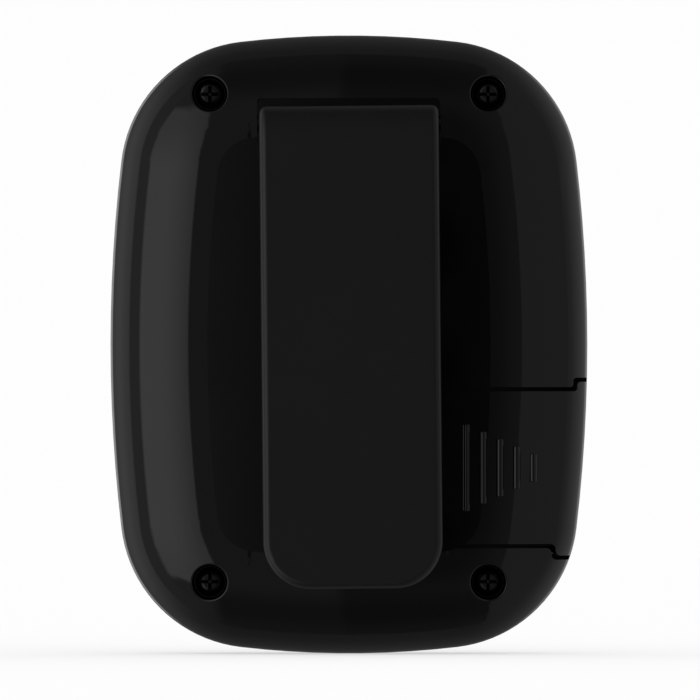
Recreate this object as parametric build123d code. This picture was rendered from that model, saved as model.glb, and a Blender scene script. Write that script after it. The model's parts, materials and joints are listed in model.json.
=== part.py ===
"""Clip-on pocket chess clock: a two-shell case with a display and two player keys on its front,
and a sprung belt clip, a sliding battery door and four deep screws on its back.

The model is drawn in the case's own frame, in millimetres: X to the right as seen from the front,
Y from the front (negative) to the back (positive) with 0 at the joint between the two shells, and
Z up with 0 at the lowest point.  export() then shifts every part along Y, so that the origin of the
finished model lies under the middle of the whole object.
"""

from build123d import *
import math
import os

# ---- Driving dimensions ------------------------------------------------------------------------

CASE_WIDTH = 63.2
CASE_HEIGHT = 81.9
SIDE_RADIUS = 207.0  # the long sides bulge a little
END_RADIUS = 124.0  # the two ends bulge more
CORNER_RADIUS = 18.0
WALL = 1.6

# Rim of each shell, from the joint outwards: a straight wall, a tight arc, then a wide arc.
BACK_DEPTH = 10.0
BACK_TIGHT, BACK_WIDE, BACK_KNEE = 6.0, 18.0, 55.0
FRONT_DEPTH = 7.2
FRONT_TIGHT, FRONT_WIDE, FRONT_KNEE = 4.2, 12.0, 60.0

MIDDLE = CASE_HEIGHT / 2
FRONT_FACE = -FRONT_DEPTH
FRONT_INNER = FRONT_FACE + WALL
BACK_INNER = BACK_DEPTH - WALL
PAST_BACK, PAST_FRONT = BACK_DEPTH + 4.0, FRONT_FACE - 4.0  # where cutters end, in the open air
SKIN = 0.4  # bosses and ribs stop this far below the outer surface

# Joint between the shells: a centring lip, the rebate that takes it, and a shadow gap
LIP_OUT, LIP_REACH, LIP_ROOT = 0.85, 0.85, 0.6
REBATE_OUT, REBATE_REACH = 0.75, 1.0
SHADOW_GAP, SHADOW_DEPTH = 0.2, 0.25

# Case screws
SCREW_X = 18.4
SCREW_TOP_Z = MIDDLE + 33.1
SCREW_LOW_Z = MIDDLE - 31.4
SCREW_POCKET_R, SCREW_POCKET_MOUTH, SCREW_POCKET_FOOT = 2.3, 0.2, 0.25
SCREW_SEAT_Y = 4.6
SCREW_HEAD_R, SCREW_HEAD_H = 2.0, 1.5
SCREW_HEAD_FILLET = 1.2
SCREW_SHANK_R, SCREW_SHANK_L, SCREW_POINT = 0.95, 9.0, 0.4
SCREW_HOLE_CLEARANCE, SCREW_PILOT_CLEARANCE = 0.2, 0.03
DRIVE_REACH, DRIVE_WIDTH, DRIVE_DEPTH, DRIVE_TIP_R = 1.15, 0.45, 1.1, 0.2
BOSS_R, BOSS_TOP_Y = 2.6, 3.0
POCKET_BOSS_R, POCKET_BOSS_LOW_Y = 3.35, 2.9
FRONT_BOSS_TOP_Y = -0.15

# Belt clip and its hinge
CLIP_WIDTH = 23.75
CLIP_TOP_Z = 72.45
CLIP_LOW_Z = 8.73
CLIP_THICK = 2.0
CLIP_FACE_Y = 16.4
CLIP_WIDE_R, CLIP_TIGHT_R, CLIP_KNEE = 9.0, 1.5, 25.0  # outside of the bend, from the blade up
CLIP_INNER_R = 1.5
CLIP_CORNER_R = 6.3
CLIP_EDGE_R = 0.95
CLIP_LEAN = 0.55  # degrees that the blade hangs out of true on its hinge
CLIP_TOE_GAP, CLIP_TOE_R, CLIP_TOE_RISE = 0.15, 0.8, 4.6
HINGE_Y, HINGE_Z = 7.6, 70.2
HINGE_PIN_R, PIN_CHAMFER = 1.0, 0.15
PIN_FIT, KNUCKLE_FIT, PIN_SKIN = 0.03, 0.05, 0.5
BARREL_R = CLIP_TOP_Z - HINGE_Z
KNUCKLE_ROOM = 4.7  # the spring's slot in the clip goes this far above and below the hinge
KNUCKLE_INNER_X, KNUCKLE_OUTER_X = 4.4, 11.3
SPRING_WIRE_R, SPRING_R, SPRING_TURNS, SPRING_PITCH = 0.28, 1.55, 11, 0.66
SPRING_TAIL, SPRING_HOLE_CLEARANCE = 1.2, 0.08
RECESS_HALF_X = CLIP_WIDTH / 2 + 0.25
RECESS_LOW_Z, RECESS_TOP_Z = 67.4, 73.5
RECESS_FLOOR_Y, RECESS_CORNER_R = 4.7, 0.5
RECESS_WALL, RECESS_FLOOR_THICK = 1.9, 1.2

# Battery door and compartment
DOOR_LOW_Z, DOOR_TOP_Z = 14.0, 35.3
DOOR_INNER_X = -9.4
FLANGE_LOW_Z, FLANGE_TOP_Z = 12.45, 36.55
FLANGE_LOW_X, FLANGE_TOP_X = -26.8, -29.7
JOG_LOW_R, JOG_TOP_R = 0.7, 0.45
DOOR_GAP, SEAM_FLOOR_Y = 0.55, 5.2
DOOR_FOOT_Y = 2.6
DOOR_Z = (DOOR_LOW_Z + DOOR_TOP_Z) / 2
DOOR_SEAT = 0.15  # the opening is this much deeper than the door is thick
DOOR_LAND = 1.0  # the solid seat under the door's rim goes this far past it
# The door's inner lip, which tucks under the edge of the opening
TUCK_REACH, TUCK_LOW_Y, TUCK_HIGH_Y, TUCK_END = 1.0, 7.55, 8.2, 2.4
TUCK_CLEARANCE, TUCK_ROOT, TUCK_RISER = 0.3, 2.0, 0.65
# Ledges on the compartment's walls, and the door's hooks that run in under them
LEDGE_X, LEDGE_Y, LEDGE_REACH = (-24.8, -22.2), (4.9, 5.5), 2.0
HOOK_X, HOOK_Y, HOOK_FOOT, HOOK_STEM = (-24.4, -22.6), (3.95, 4.7), (0.6, 3.0), (2.2, 3.0)
PRESS_RIB_X, PRESS_RIB_Z, PRESS_RIB_WIDTH, PRESS_RIB_GAP = -22.8, 5.0, 1.0, 0.15
RIB_COUNT, RIB_PITCH, RIB_WIDTH, RIB_HEIGHT = 5, 2.22, 1.08, 0.42
RIB_END_FILLET = 0.15
RIB_FIRST_X, RIB_FIRST_LENGTH, RIB_STEP = -15.5, 11.5, 1.93
CELL_R, CELL_THICK = 10.0, 3.2
CELL_X, CELL_Z, CELL_LOW_Y = -15.4, DOOR_Z, 3.1
TRAY_FLOOR_LOW_Y, TRAY_FLOOR_Y = 1.8, 2.5
TRAY_CLEARANCE, TRAY_WALL = 0.35, 1.05
CAN_WALL, CAN_ROLL, CAN_LOW_Y = 0.25, 0.6, 0.35
CAP_INSET, CAP_TOP, CAP_FILLET = 1.3, 0.5, 0.4
CONTACT_THICK, CONTACT_HALF_WIDTH, CONTACT_LIFT = 0.25, 1.0, 0.02

# Circuit board
BOARD_FRONT_Y, BOARD_BACK_Y = -1.2, 0.0
BOARD_HALF_X, BOARD_LOW_Z, BOARD_TOP_Z = 27.3, 15.5, 68.5
BOARD_TAB_HALF_X, BOARD_TAB_LOW_Z = 14.4, 7.0
POST_X, POST_ZS = 25.6, (20.0, 43.0)
POST_R = 1.8
BOARD_SCREW_R, BOARD_SCREW_L = 0.7, 3.0
BOARD_HEAD_R, BOARD_HEAD_H, BOARD_HEAD_FILLET = 1.5, 0.9, 0.35

# Display
LENS_HALF_X, LENS_LOW_Z, LENS_TOP_Z = 22.6, 45.0, 68.0
LENS_THICK, LENS_CORNER_R, LENS_FIT, LENS_BEVEL = 1.0, 2.5, 0.1, 0.15
TAPE_THICK, TAPE_INSET = 0.1, 0.3
WINDOW_HALF_X, WINDOW_LOW_Z, WINDOW_TOP_Z, WINDOW_CORNER_R = 20.4, 48.4, 64.6, 0.8
GLASS_HALF_X, GLASS_LOW_Z, GLASS_TOP_Z = 22.0, 46.0, 67.0
GLASS_THICK, FILM_THICK, CONTACT_LEDGE = 1.1, 0.2, 2.2
DISPLAY_FRONT_Y = FRONT_INNER + 0.1

# Keys: name, centre x, centre z, width, height, corner radius, stand-out, stem radius, dome radius
PLAYER = (21.0, 20.5, 4.0, 1.2, 3.4, 6.0)
SMALL = (7.4, 4.6, 2.2, 0.9, 1.4, 2.9)
PLAYER_Z, SMALL_Z = 29.75, 11.4
KEYS = {
    "player_key_left": (-11.9, PLAYER_Z) + PLAYER,
    "player_key_right": (11.9, PLAYER_Z) + PLAYER,
    "mode_key": (-10.4, SMALL_Z) + SMALL,
    "start_key": (0.0, SMALL_Z) + SMALL,
    "set_key": (10.4, SMALL_Z) + SMALL,
}
KEY_GAP = 0.2
KEY_TRAVEL = 1.0
KEY_EDGE_R, KEY_WALL, KEY_FACE_THICK = 0.6, 1.1, 1.4
FLANGE_THICK, FLANGE_WIDTH, FLANGE_GAP = 0.8, 0.7, 0.05
PAD_SHEET_Y = -2.0
DOME_TOP_Y = FRONT_INNER + 0.9
PILL_FACE_Y = BOARD_FRONT_Y - KEY_TRAVEL - 0.1
PILL_THICK, PILL_SHARE, PLUNGER_SHARE, PAD_SHARE = 0.5, 0.38, 0.4, 0.42  # shares of the dome's radius
DOME_WALL, DOME_SLOPE = 0.7, 0.45

# Buzzer
BUZZER_X, BUZZER_Z, BUZZER_R, BUZZER_Y = 0.0, 51.5, 10.0, 7.15
BUZZER_SEAT_OUT, BUZZER_SEAT_IN = 0.7, 1.0
BRASS_THICK, CERAMIC_THICK, CERAMIC_R = 0.2, 0.22, 7.0
FEED_WIRE_R, FEED_COIL_R, FEED_TURNS = 0.18, 1.1, 6

ORIGIN_Y = (CLIP_FACE_Y + FRONT_FACE - PLAYER[3]) / 2


# ---- Small helpers -----------------------------------------------------------------------------


def prism(sketch, low_y, high_y):
    """An X-Z sketch pulled from one depth to another."""
    return extrude(Plane.XZ.offset(-high_y) * sketch, amount=high_y - low_y)


def bar(x, z, radius, low_y, high_y):
    """A round bar along Y."""
    return prism(Pos(x, z) * Circle(radius), low_y, high_y)


def block(low_x, high_x, low_z, high_z, low_y, high_y, corner=0.0):
    """A box given by its limits, with rounded X-Z corners if asked."""
    width, height = high_x - low_x, high_z - low_z
    flat = RectangleRounded(width, height, corner) if corner else Rectangle(width, height)
    return prism(Pos((low_x + high_x) / 2, (low_z + high_z) / 2) * flat, low_y, high_y)


def one(shape):
    """The shape as a plain Part, whatever the last operation returned."""
    return Part() + shape.solids()


def outline_arcs():
    """The case outline about its own centre: (centre, radius, start, end) of each arc, in degrees."""
    side_x = CASE_WIDTH / 2 - SIDE_RADIUS
    end_z = CASE_HEIGHT / 2 - END_RADIUS
    # The corner centre lies where both big arcs, drawn smaller by the corner radius, cross.
    to_side = SIDE_RADIUS - CORNER_RADIUS
    to_end = END_RADIUS - CORNER_RADIUS
    between = math.hypot(side_x, end_z)
    along = (to_side**2 - to_end**2 + between**2) / (2 * between)
    across = math.sqrt(to_side**2 - along**2)
    ux, uz = -side_x / between, end_z / between
    corner_x = side_x + ux * along - uz * across
    corner_z = uz * along + ux * across
    side_end = math.degrees(math.atan2(corner_z, corner_x - side_x))
    end_start = math.degrees(math.atan2(corner_z - end_z, corner_x))
    return [
        ((side_x, 0), SIDE_RADIUS, -side_end, side_end),
        ((corner_x, corner_z), CORNER_RADIUS, side_end, end_start),
        ((0, end_z), END_RADIUS, end_start, 180 - end_start),
        ((-corner_x, corner_z), CORNER_RADIUS, 180 - end_start, 180 - side_end),
        ((-side_x, 0), SIDE_RADIUS, 180 - side_end, 180 + side_end),
        ((-corner_x, -corner_z), CORNER_RADIUS, 180 + side_end, 180 + end_start),
        ((0, -end_z), END_RADIUS, 180 + end_start, 360 - end_start),
        ((corner_x, -corner_z), CORNER_RADIUS, 360 - end_start, 360 - side_end),
    ]


def outline(inset):
    """The case outline drawn smaller by inset, as an X-Z sketch."""
    edges = []
    for (x, z), radius, start, end in outline_arcs():
        points = []
        for angle in (start, (start + end) / 2, end):
            a = math.radians(angle)
            points.append((x + (radius - inset) * math.cos(a), z + (radius - inset) * math.sin(a)))
        edges.append(ThreePointArc(*points))
    return Pos(0, MIDDLE) * make_face(edges)


def rim_section(radius, depth, tight, wide, knee, floor):
    """Cross-section of the rim outside its crown, in (distance from the arc's centre, depth)."""
    a = math.radians(knee)
    straight = depth - tight * math.sin(a) - wide * (1 - math.sin(a))

    def on_tight(angle):
        return (radius - tight * (1 - math.cos(angle)), straight + tight * math.sin(angle))

    knee_r, knee_y = on_tight(a)

    def on_wide(angle):
        return (
            knee_r - wide * (math.cos(a) - math.cos(angle)),
            knee_y + wide * (math.sin(angle) - math.sin(a)),
        )

    crown = on_wide(math.pi / 2)
    return [
        Line((radius, floor), on_tight(0)),
        ThreePointArc(on_tight(0), on_tight(a / 2), on_tight(a)),
        ThreePointArc(on_tight(a), on_wide((a + math.pi / 2) / 2), crown),
        Line(crown, (crown[0], floor)),
        Line((crown[0], floor), (radius, floor)),
    ]


def pillow(depth, tight, wide, knee, inset=0.0, floor=0.0):
    """The solid that a shell is cut from: a crowned cushion, drawn smaller all round by inset."""
    depth, tight, wide = depth - inset, tight - inset, wide - inset
    run = tight * (1 - math.cos(math.radians(knee))) + wide * math.cos(math.radians(knee))
    solid = prism(outline(inset + run), floor, depth)
    for (x, z), radius, start, end in outline_arcs():
        a = math.radians(start)
        centre = (x, 0, MIDDLE + z)
        plane = Plane(centre, x_dir=(math.cos(a), 0, math.sin(a)), z_dir=(-math.sin(a), 0, math.cos(a)))
        section = make_face(rim_section(radius - inset, depth, tight, wide, knee, floor))
        solid += revolve(plane * section, axis=Axis(centre, (0, -1, 0)), revolution_arc=end - start)
    return solid


def back_pillow(inset=0.0, floor=0.0):
    return pillow(BACK_DEPTH, BACK_TIGHT, BACK_WIDE, BACK_KNEE, inset, floor)


def front_pillow(inset=0.0, floor=0.0):
    made = pillow(FRONT_DEPTH, FRONT_TIGHT, FRONT_WIDE, FRONT_KNEE, inset, floor)
    return mirror(made, Plane.XZ)


def screw_places():
    return [(x, z) for x in (-SCREW_X, SCREW_X) for z in (SCREW_LOW_Z, SCREW_TOP_Z)]


def post_places():
    return [(x, z) for x in (-POST_X, POST_X) for z in POST_ZS]


def cross_recess(x, z, face_y, reach, width, depth):
    """Cutter for a cross drive, narrowing inwards, in a screw head whose face looks to the back."""
    arms = block(x - reach, x + reach, z - width / 2, z + width / 2, face_y - depth, face_y)
    arms += block(x - width / 2, x + width / 2, z - reach, z + reach, face_y - depth, face_y)
    point = Pos(x, face_y - depth / 2, z) * Rot(-90, 0, 0) * Cone(DRIVE_TIP_R, reach, depth)
    return arms & point


def along_x(x, y, z, radius, length):
    """A round bar along X, about its own middle."""
    return Pos(x, y, z) * Rot(0, 90, 0) * Cylinder(radius, length)


# ---- Back shell and battery door ---------------------------------------------------------------


def door_region(grow):
    """Outline of the battery door seen from the back; grow widens it on every side."""
    corners = [
        (DOOR_INNER_X + grow, DOOR_LOW_Z - grow),
        (DOOR_INNER_X + grow, DOOR_TOP_Z + grow),
        (FLANGE_TOP_X + grow, DOOR_TOP_Z + grow),
        (FLANGE_TOP_X + grow, FLANGE_TOP_Z + grow),
        (-CASE_WIDTH, FLANGE_TOP_Z + grow),
        (-CASE_WIDTH, FLANGE_LOW_Z - grow),
        (FLANGE_LOW_X + grow, FLANGE_LOW_Z - grow),
        (FLANGE_LOW_X + grow, DOOR_LOW_Z - grow),
    ]
    face = make_face(Polyline(*corners, close=True))

    def jog(above):
        """The two corners of one step in the outline."""
        steps = [v for v in face.vertices() if -CASE_WIDTH / 2 < v.X < DOOR_INNER_X - 1]
        return [v for v in steps if (v.Y > DOOR_Z) == above]

    face = fillet(jog(True), JOG_TOP_R)
    return fillet(jog(False), JOG_LOW_R)


def tray_outline(grow):
    """The cell's pocket: round at its inner end and open towards the side of the case."""
    radius = CELL_R + TRAY_CLEARANCE + grow
    channel = Pos(CELL_X - CELL_R, CELL_Z) * Rectangle(2 * CELL_R, 2 * radius)
    return Pos(CELL_X, CELL_Z) * Circle(radius) + channel


def door_sides():
    """For each long edge of the door: the pocket's wall there, and the way inwards along Z."""
    reach = CELL_R + TRAY_CLEARANCE
    return [(CELL_Z - reach, 1), (CELL_Z + reach, -1)]


def strip_z(edge, inwards, near, far):
    """Low and high Z of a strip that lies near to far inside an edge."""
    return sorted((edge + inwards * near, edge + inwards * far))


def pocket_rims(shape, x, z):
    """The round edges at the mouth and the foot of the screw pocket at x, z."""

    def on_wall(edge):
        return abs(math.hypot((edge @ 0.5).X - x, (edge @ 0.5).Z - z) - SCREW_POCKET_R) < 1e-3

    rims = [e for e in shape.edges() if on_wall(e) and e.center().Y > SCREW_SEAT_Y - 1e-3]
    foot = [e for e in rims if e.center().Y < SCREW_SEAT_Y + 1e-3]
    mouth = [e for e in rims if e.bounding_box().min.Y > SCREW_SEAT_Y + 1]
    return mouth, foot


def back_shell():
    shell = back_pillow() - back_pillow(inset=WALL, floor=-1)
    shell += prism(outline(LIP_OUT) - outline(WALL), -LIP_REACH, LIP_ROOT)
    inside = back_pillow(inset=SKIN, floor=-1)
    for x, z in screw_places():
        shell += bar(x, z, POCKET_BOSS_R, POCKET_BOSS_LOW_Y, PAST_BACK) & inside
        shell += bar(x, z, BOSS_R, 0, BOSS_TOP_Y)
    # The clip's recess is a closed box inside the case.
    box_x = RECESS_HALF_X + RECESS_WALL
    box_low, box_top = RECESS_LOW_Z - RECESS_WALL, RECESS_TOP_Z + RECESS_FLOOR_THICK
    shell += block(-box_x, box_x, box_low, box_top, RECESS_FLOOR_Y - RECESS_FLOOR_THICK, PAST_BACK) & inside
    # Battery compartment and the buzzer's seat
    walls = tray_outline(TRAY_WALL) + door_region(DOOR_LAND) - tray_outline(0)
    tray = prism(walls, TRAY_FLOOR_LOW_Y, PAST_BACK)
    tray += prism(tray_outline(TRAY_WALL), TRAY_FLOOR_LOW_Y, TRAY_FLOOR_Y)
    shell += tray & inside
    seat = Circle(BUZZER_R + BUZZER_SEAT_OUT) - Circle(BUZZER_R - BUZZER_SEAT_IN)
    shell += prism(Pos(BUZZER_X, BUZZER_Z) * seat, BUZZER_Y, BACK_INNER + SKIN)

    shell -= block(-RECESS_HALF_X, RECESS_HALF_X, RECESS_LOW_Z, RECESS_TOP_Z,
                   RECESS_FLOOR_Y, PAST_BACK, RECESS_CORNER_R)
    shell -= along_x(0, HINGE_Y, HINGE_Z, HINGE_PIN_R + PIN_FIT, 2 * (box_x - PIN_SKIN))
    for x, z in screw_places():
        shell -= bar(x, z, SCREW_POCKET_R, SCREW_SEAT_Y, PAST_BACK)
        mouth, foot = pocket_rims(shell, x, z)
        shell = fillet(mouth, SCREW_POCKET_MOUTH)
        mouth, foot = pocket_rims(shell, x, z)
        shell = fillet(foot, SCREW_POCKET_FOOT)
        shell -= bar(x, z, SCREW_SHANK_R + SCREW_HOLE_CLEARANCE, -1, SCREW_SEAT_Y + 1)
    opening = prism(door_region(0), TRAY_FLOOR_Y, PAST_BACK)
    shell -= opening & (back_pillow(inset=-1) - back_pillow(inset=WALL + DOOR_SEAT, floor=-1))
    shell -= prism(tray_outline(0), TRAY_FLOOR_Y, BACK_INNER)
    shell -= prism(door_region(0) - door_region(-DOOR_GAP), SEAM_FLOOR_Y, PAST_BACK) & back_pillow(inset=-1)
    shell -= block(DOOR_INNER_X - TUCK_RISER, DOOR_INNER_X + TUCK_REACH + TUCK_CLEARANCE,
                   DOOR_LOW_Z + TUCK_END - TUCK_CLEARANCE, DOOR_TOP_Z - TUCK_END + TUCK_CLEARANCE,
                   TUCK_LOW_Y - TUCK_CLEARANCE, TUCK_HIGH_Y + DOOR_SEAT)
    for edge, inwards in door_sides():
        low, high = strip_z(edge, inwards, -SKIN, LEDGE_REACH)
        shell += block(*LEDGE_X, low, high, *LEDGE_Y)
    return shell - contact_slots()


def thumb_rib(x, length):
    """A half-round rib along Z that stands on the back surface at x."""
    knee = math.radians(BACK_KNEE)
    inset = SIDE_RADIUS - math.hypot(SIDE_RADIUS - CASE_WIDTH / 2 - x, DOOR_Z - MIDDLE)
    # The surface there leans by the angle whose sine this is
    lean = max(math.cos(knee) - (inset - BACK_TIGHT * (1 - math.cos(knee))) / BACK_WIDE, 0)
    upright = math.sqrt(1 - lean**2)
    surface_y = BACK_DEPTH - BACK_WIDE * (1 - upright)
    radius = (RIB_WIDTH**2 / 4 + RIB_HEIGHT**2) / (2 * RIB_HEIGHT)
    sunk = radius - RIB_HEIGHT
    rib = fillet(Cylinder(radius, length).edges().filter_by(GeomType.CIRCLE), RIB_END_FILLET)
    return Pos(x + sunk * lean, surface_y - sunk * upright, DOOR_Z) * rib


def battery_door():
    """A curved plate with a deep outer end, a lip that tucks in, two hooks, and the thumb ribs."""
    skin = back_pillow() - back_pillow(inset=WALL, floor=-1)
    door = skin & prism(door_region(-DOOR_GAP), DOOR_FOOT_Y, PAST_BACK)
    under_y = BACK_DEPTH - SKIN
    lip_z = (DOOR_LOW_Z + TUCK_END, DOOR_TOP_Z - TUCK_END)
    fittings = block(DOOR_INNER_X - TUCK_ROOT, DOOR_INNER_X + TUCK_REACH, *lip_z, TUCK_LOW_Y, TUCK_HIGH_Y)
    fittings += block(DOOR_INNER_X - TUCK_ROOT, DOOR_INNER_X - TUCK_RISER, *lip_z, TUCK_LOW_Y, under_y)
    for z in (DOOR_Z - PRESS_RIB_Z, DOOR_Z + PRESS_RIB_Z):
        fittings += block(PRESS_RIB_X, DOOR_INNER_X - TUCK_ROOT,
                          z - PRESS_RIB_WIDTH / 2, z + PRESS_RIB_WIDTH / 2,
                          CELL_LOW_Y + CELL_THICK + PRESS_RIB_GAP, under_y)
    for edge, inwards in door_sides():
        fittings += block(*HOOK_X, *strip_z(edge, inwards, *HOOK_FOOT), *HOOK_Y)
        fittings += block(*HOOK_X, *strip_z(edge, inwards, *HOOK_STEM), HOOK_Y[0], under_y)
    door += fittings & back_pillow(inset=SKIN)
    for i in range(RIB_COUNT):
        door += thumb_rib(RIB_FIRST_X - i * RIB_PITCH, RIB_FIRST_LENGTH - i * RIB_STEP)
    return door


# ---- Battery and its contacts ------------------------------------------------------------------


def contact_slots():
    """Openings in the tray floor and end wall that the two contact strips pass through."""
    end_x = CELL_X + CELL_R
    floor = block(CELL_X - 1.3, CELL_X + 1.3, CELL_Z + 6.0, CELL_Z + 7.0, 0, TRAY_FLOOR_Y + 0.5)
    return floor + block(end_x, end_x + 0.95, CELL_Z - 2.3, CELL_Z + 2.3, TRAY_FLOOR_LOW_Y - 0.5, 7.0)


def negative_contact():
    """A strip on the tray floor with a raised finger, and a tail down to the board."""
    low_x, high_x = CELL_X - CONTACT_HALF_WIDTH, CELL_X + CONTACT_HALF_WIDTH
    top_y = TRAY_FLOOR_Y + CONTACT_THICK
    root, crest, tip, bend = CELL_Z - 4.0, CELL_Z - 0.6, CELL_Z + 1.0, CELL_Z + 6.75
    strip = block(low_x, high_x, root, bend, TRAY_FLOOR_Y, top_y)
    strip += block(low_x, high_x, bend - CONTACT_THICK, bend, BOARD_BACK_Y + CONTACT_LIFT, top_y)
    # Drawn in (Z, -Y), the plane that looks along +X
    finger = make_face(Polyline(
        (root, -TRAY_FLOOR_Y), (root + 0.6, -TRAY_FLOOR_Y), (crest, CONTACT_THICK - CELL_LOW_Y),
        (tip, CONTACT_THICK - CELL_LOW_Y), (tip, -CELL_LOW_Y), (crest - 0.1, -CELL_LOW_Y),
        (root, -top_y), close=True))
    side = Plane((CELL_X, 0, 0), x_dir=(0, 0, 1), z_dir=(1, 0, 0))
    return strip + extrude(side * finger, amount=CONTACT_HALF_WIDTH - 0.1, both=True)


def positive_contact():
    """A strip at the pocket's round end that bears on the side of the cell."""
    x = CELL_X + CELL_R + 0.32
    strip = block(x, x + CONTACT_THICK, CELL_Z - 2, CELL_Z + 2, BOARD_BACK_Y + CONTACT_LIFT, 6.4)
    pip = Pos(x - 0.12, CELL_LOW_Y + CELL_THICK / 2 + 0.6, CELL_Z) * Rot(0, 90, 0) * Cone(0.3, 0.6, 0.3)
    return strip + pip


def battery_can():
    can = bar(CELL_X, CELL_Z, CELL_R, CELL_LOW_Y + CAN_LOW_Y, CELL_LOW_Y + CELL_THICK)
    can = fillet(can.edges().group_by(Axis.Y)[-1], CAN_ROLL)
    return can - bar(CELL_X, CELL_Z, CELL_R - CAN_WALL, CELL_LOW_Y, CELL_LOW_Y + CELL_THICK - 0.3)


def battery_cap():
    cap = bar(CELL_X, CELL_Z, CELL_R - CAP_INSET, CELL_LOW_Y, CELL_LOW_Y + CELL_THICK - CAP_TOP)
    return fillet(cap.edges().group_by(Axis.Y)[0], CAP_FILLET)


def battery_seal():
    ring = Circle(CELL_R - CAN_WALL - 0.02) - Circle(CELL_R - CAP_INSET + 0.02)
    return prism(Pos(CELL_X, CELL_Z) * ring, CELL_LOW_Y + 0.2, CELL_LOW_Y + CELL_THICK - CAP_TOP - 0.1)


# ---- Belt clip ---------------------------------------------------------------------------------


def clip_profile():
    """Side view of the clip in (Y, Z): hinge lug, bend, long blade, and a toe that meets the case."""
    inner_y = CLIP_FACE_Y - CLIP_THICK
    under_z = CLIP_TOP_Z - CLIP_THICK
    knee = math.radians(CLIP_KNEE)
    wide_z = CLIP_TOP_Z - CLIP_WIDE_R * math.sin(knee) - CLIP_TIGHT_R * (1 - math.sin(knee))
    wide_centre = (CLIP_FACE_Y - CLIP_WIDE_R, wide_z)
    tight_y = wide_centre[0] + (CLIP_WIDE_R - CLIP_TIGHT_R) * math.cos(knee)
    tight_centre = (tight_y, CLIP_TOP_Z - CLIP_TIGHT_R)
    inner_centre = (inner_y - CLIP_INNER_R, under_z - CLIP_INNER_R)

    def bend(centre, radius, start, end):
        """An arc from one angle to another, measured from +Y towards +Z."""
        angles = (start, (start + end) / 2, end)
        return ThreePointArc(*((centre[0] + radius * math.cos(a), centre[1] + radius * math.sin(a)) for a in angles))

    toe_y = BACK_DEPTH + CLIP_TOE_GAP
    toe_rim_y = toe_y + CLIP_TOE_R
    toe_low, toe_mid, toe_high = (CLIP_LOW_Z + CLIP_TOE_R * n for n in (1, 2, 3))
    return make_face([
        Line((CLIP_FACE_Y, CLIP_LOW_Z), (CLIP_FACE_Y, wide_z)),
        bend(wide_centre, CLIP_WIDE_R, 0, knee),
        bend(tight_centre, CLIP_TIGHT_R, knee, math.pi / 2),
        Line((tight_y, CLIP_TOP_Z), (HINGE_Y, CLIP_TOP_Z)),
        Line((HINGE_Y, CLIP_TOP_Z), (HINGE_Y, HINGE_Z)),
        Line((HINGE_Y, HINGE_Z), (HINGE_Y + BARREL_R, HINGE_Z)),
        Line((HINGE_Y + BARREL_R, HINGE_Z), (HINGE_Y + BARREL_R, under_z)),
        Line((HINGE_Y + BARREL_R, under_z), (inner_centre[0], under_z)),
        bend(inner_centre, CLIP_INNER_R, math.pi / 2, 0),
        Line((inner_y, inner_centre[1]), (inner_y, CLIP_LOW_Z + CLIP_TOE_RISE)),
        Line((inner_y, CLIP_LOW_Z + CLIP_TOE_RISE), (toe_rim_y, toe_high)),
        ThreePointArc((toe_rim_y, toe_high), (toe_y, toe_mid), (toe_rim_y, toe_low)),
        Line((toe_rim_y, toe_low), (inner_y, CLIP_LOW_Z)),
        Line((inner_y, CLIP_LOW_Z), (CLIP_FACE_Y, CLIP_LOW_Z)),
    ])


def is_clip_rim(edge):
    """Whether an edge of the clip's outer skin runs along a side or round the free end."""
    middle = edge @ 0.5
    on_side = abs(abs(middle.X) - CLIP_WIDTH / 2) < 1e-3
    at_end = abs(edge.center().Y - CLIP_FACE_Y) < 1e-3 and middle.Z < CLIP_LOW_Z + CLIP_CORNER_R + 0.1
    return on_side or at_end


def belt_clip():
    clip = extrude(Plane.YZ * clip_profile(), amount=CLIP_WIDTH / 2, both=True)
    # The blade's free end is rounded; the round at the other end of this outline clears the clip.
    height = CLIP_TOP_Z - CLIP_LOW_Z + 4 * CLIP_CORNER_R
    outline_z = CLIP_LOW_Z + height / 2
    clip &= prism(Pos(0, outline_z) * RectangleRounded(CLIP_WIDTH, height, CLIP_CORNER_R), 0, CLIP_FACE_Y + 1)
    outer = [f for f in clip.faces() if f.center().Y > CLIP_FACE_Y - CLIP_THICK and f.normal_at().Y > 0.5]
    clip = fillet([e for f in outer for e in f.edges() if is_clip_rim(e)], CLIP_EDGE_R)
    clip = Pos(0, 0, HINGE_Z) * Rot(0, CLIP_LEAN, 0) * Pos(0, 0, -HINGE_Z) * clip
    # Hinge knuckles, bored for the pin, with room for the spring between them
    clip += along_x(0, HINGE_Y, HINGE_Z, BARREL_R, 2 * KNUCKLE_OUTER_X)
    clip -= along_x(0, HINGE_Y, HINGE_Z, HINGE_PIN_R + KNUCKLE_FIT, 2 * CLIP_WIDTH)
    clip -= block(-KNUCKLE_INNER_X, KNUCKLE_INNER_X, HINGE_Z - KNUCKLE_ROOM, HINGE_Z + KNUCKLE_ROOM,
                  RECESS_FLOOR_Y, HINGE_Y + BARREL_R)
    return clip - along_x(-KNUCKLE_INNER_X, HINGE_Y, HINGE_Z + SPRING_R,
                          SPRING_WIRE_R + SPRING_HOLE_CLEARANCE, 2 * SPRING_TAIL)


def clip_pin():
    length = 2 * (RECESS_HALF_X + RECESS_WALL - PIN_SKIN) - 0.6
    return chamfer(along_x(0, HINGE_Y, HINGE_Z, HINGE_PIN_R, length).edges(), PIN_CHAMFER)


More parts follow.
